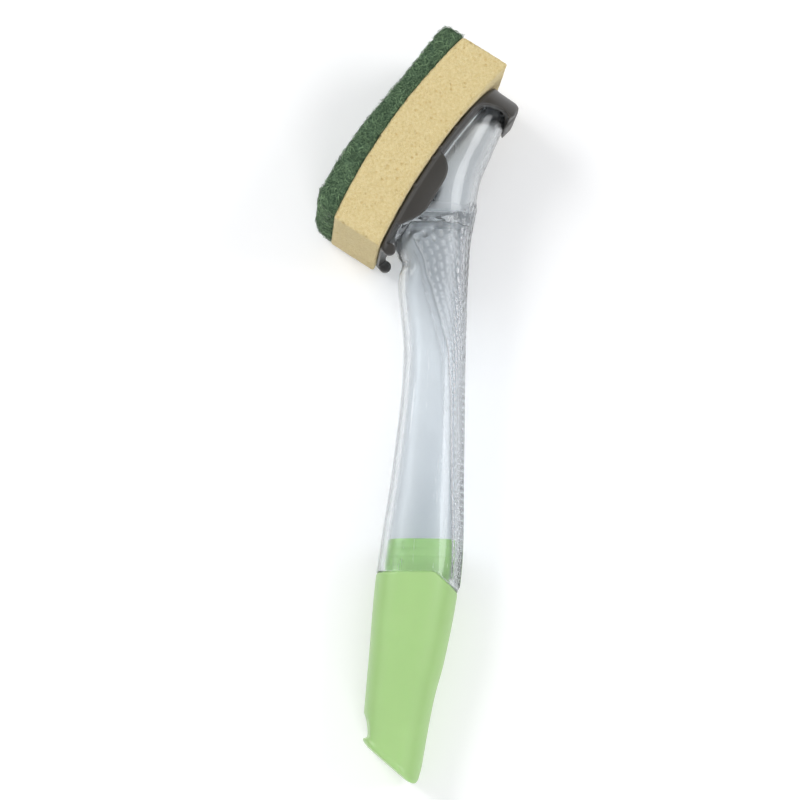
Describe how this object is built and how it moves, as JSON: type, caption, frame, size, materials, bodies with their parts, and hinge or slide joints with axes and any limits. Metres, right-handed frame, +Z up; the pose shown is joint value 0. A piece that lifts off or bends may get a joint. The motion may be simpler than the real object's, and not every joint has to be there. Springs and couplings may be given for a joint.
{
  "type": "dish wand",
  "caption": "Dish wand with a hollow clear handle for washing-up liquid, a pull-off end cap, and a clip-on curved sponge head with a scouring face.",
  "frame": {"origin": "on the floor, under the middle of the wand's bounding box, with the wand lying on its side", "axes": "+Y from the end cap to the head, +Z up, the sponge faces -X"},
  "size_m": [0.0776, 0.276, 0.0533],
  "materials": {
    "clear_plastic": "gloss",
    "green_plastic": "satin",
    "black_plastic": "satin",
    "silicone": "matte",
    "foam": "matte",
    "abrasive_pad": "matte"
  },
  "bodies": {
    "handle": {"handle_reservoir": "clear_plastic"},
    "cap": {"end_cap": "green_plastic"},
    "head": {"sponge_holder": "black_plastic", "feed_valve": "silicone", "foam_block": "foam", "scouring_pad": "abrasive_pad"}
  },
  "joints": [
    {"name": "cap_pull", "type": "slide", "parent": "handle", "child": "cap", "axis": [-0.0899, -0.9943, -0.0571], "range_m": [0, 0.04]},
    {"name": "head_slide", "type": "slide", "parent": "handle", "child": "head", "axis": [0.3726, 0.9276, 0.0258], "range_m": [0, 0.065]}
  ]
}
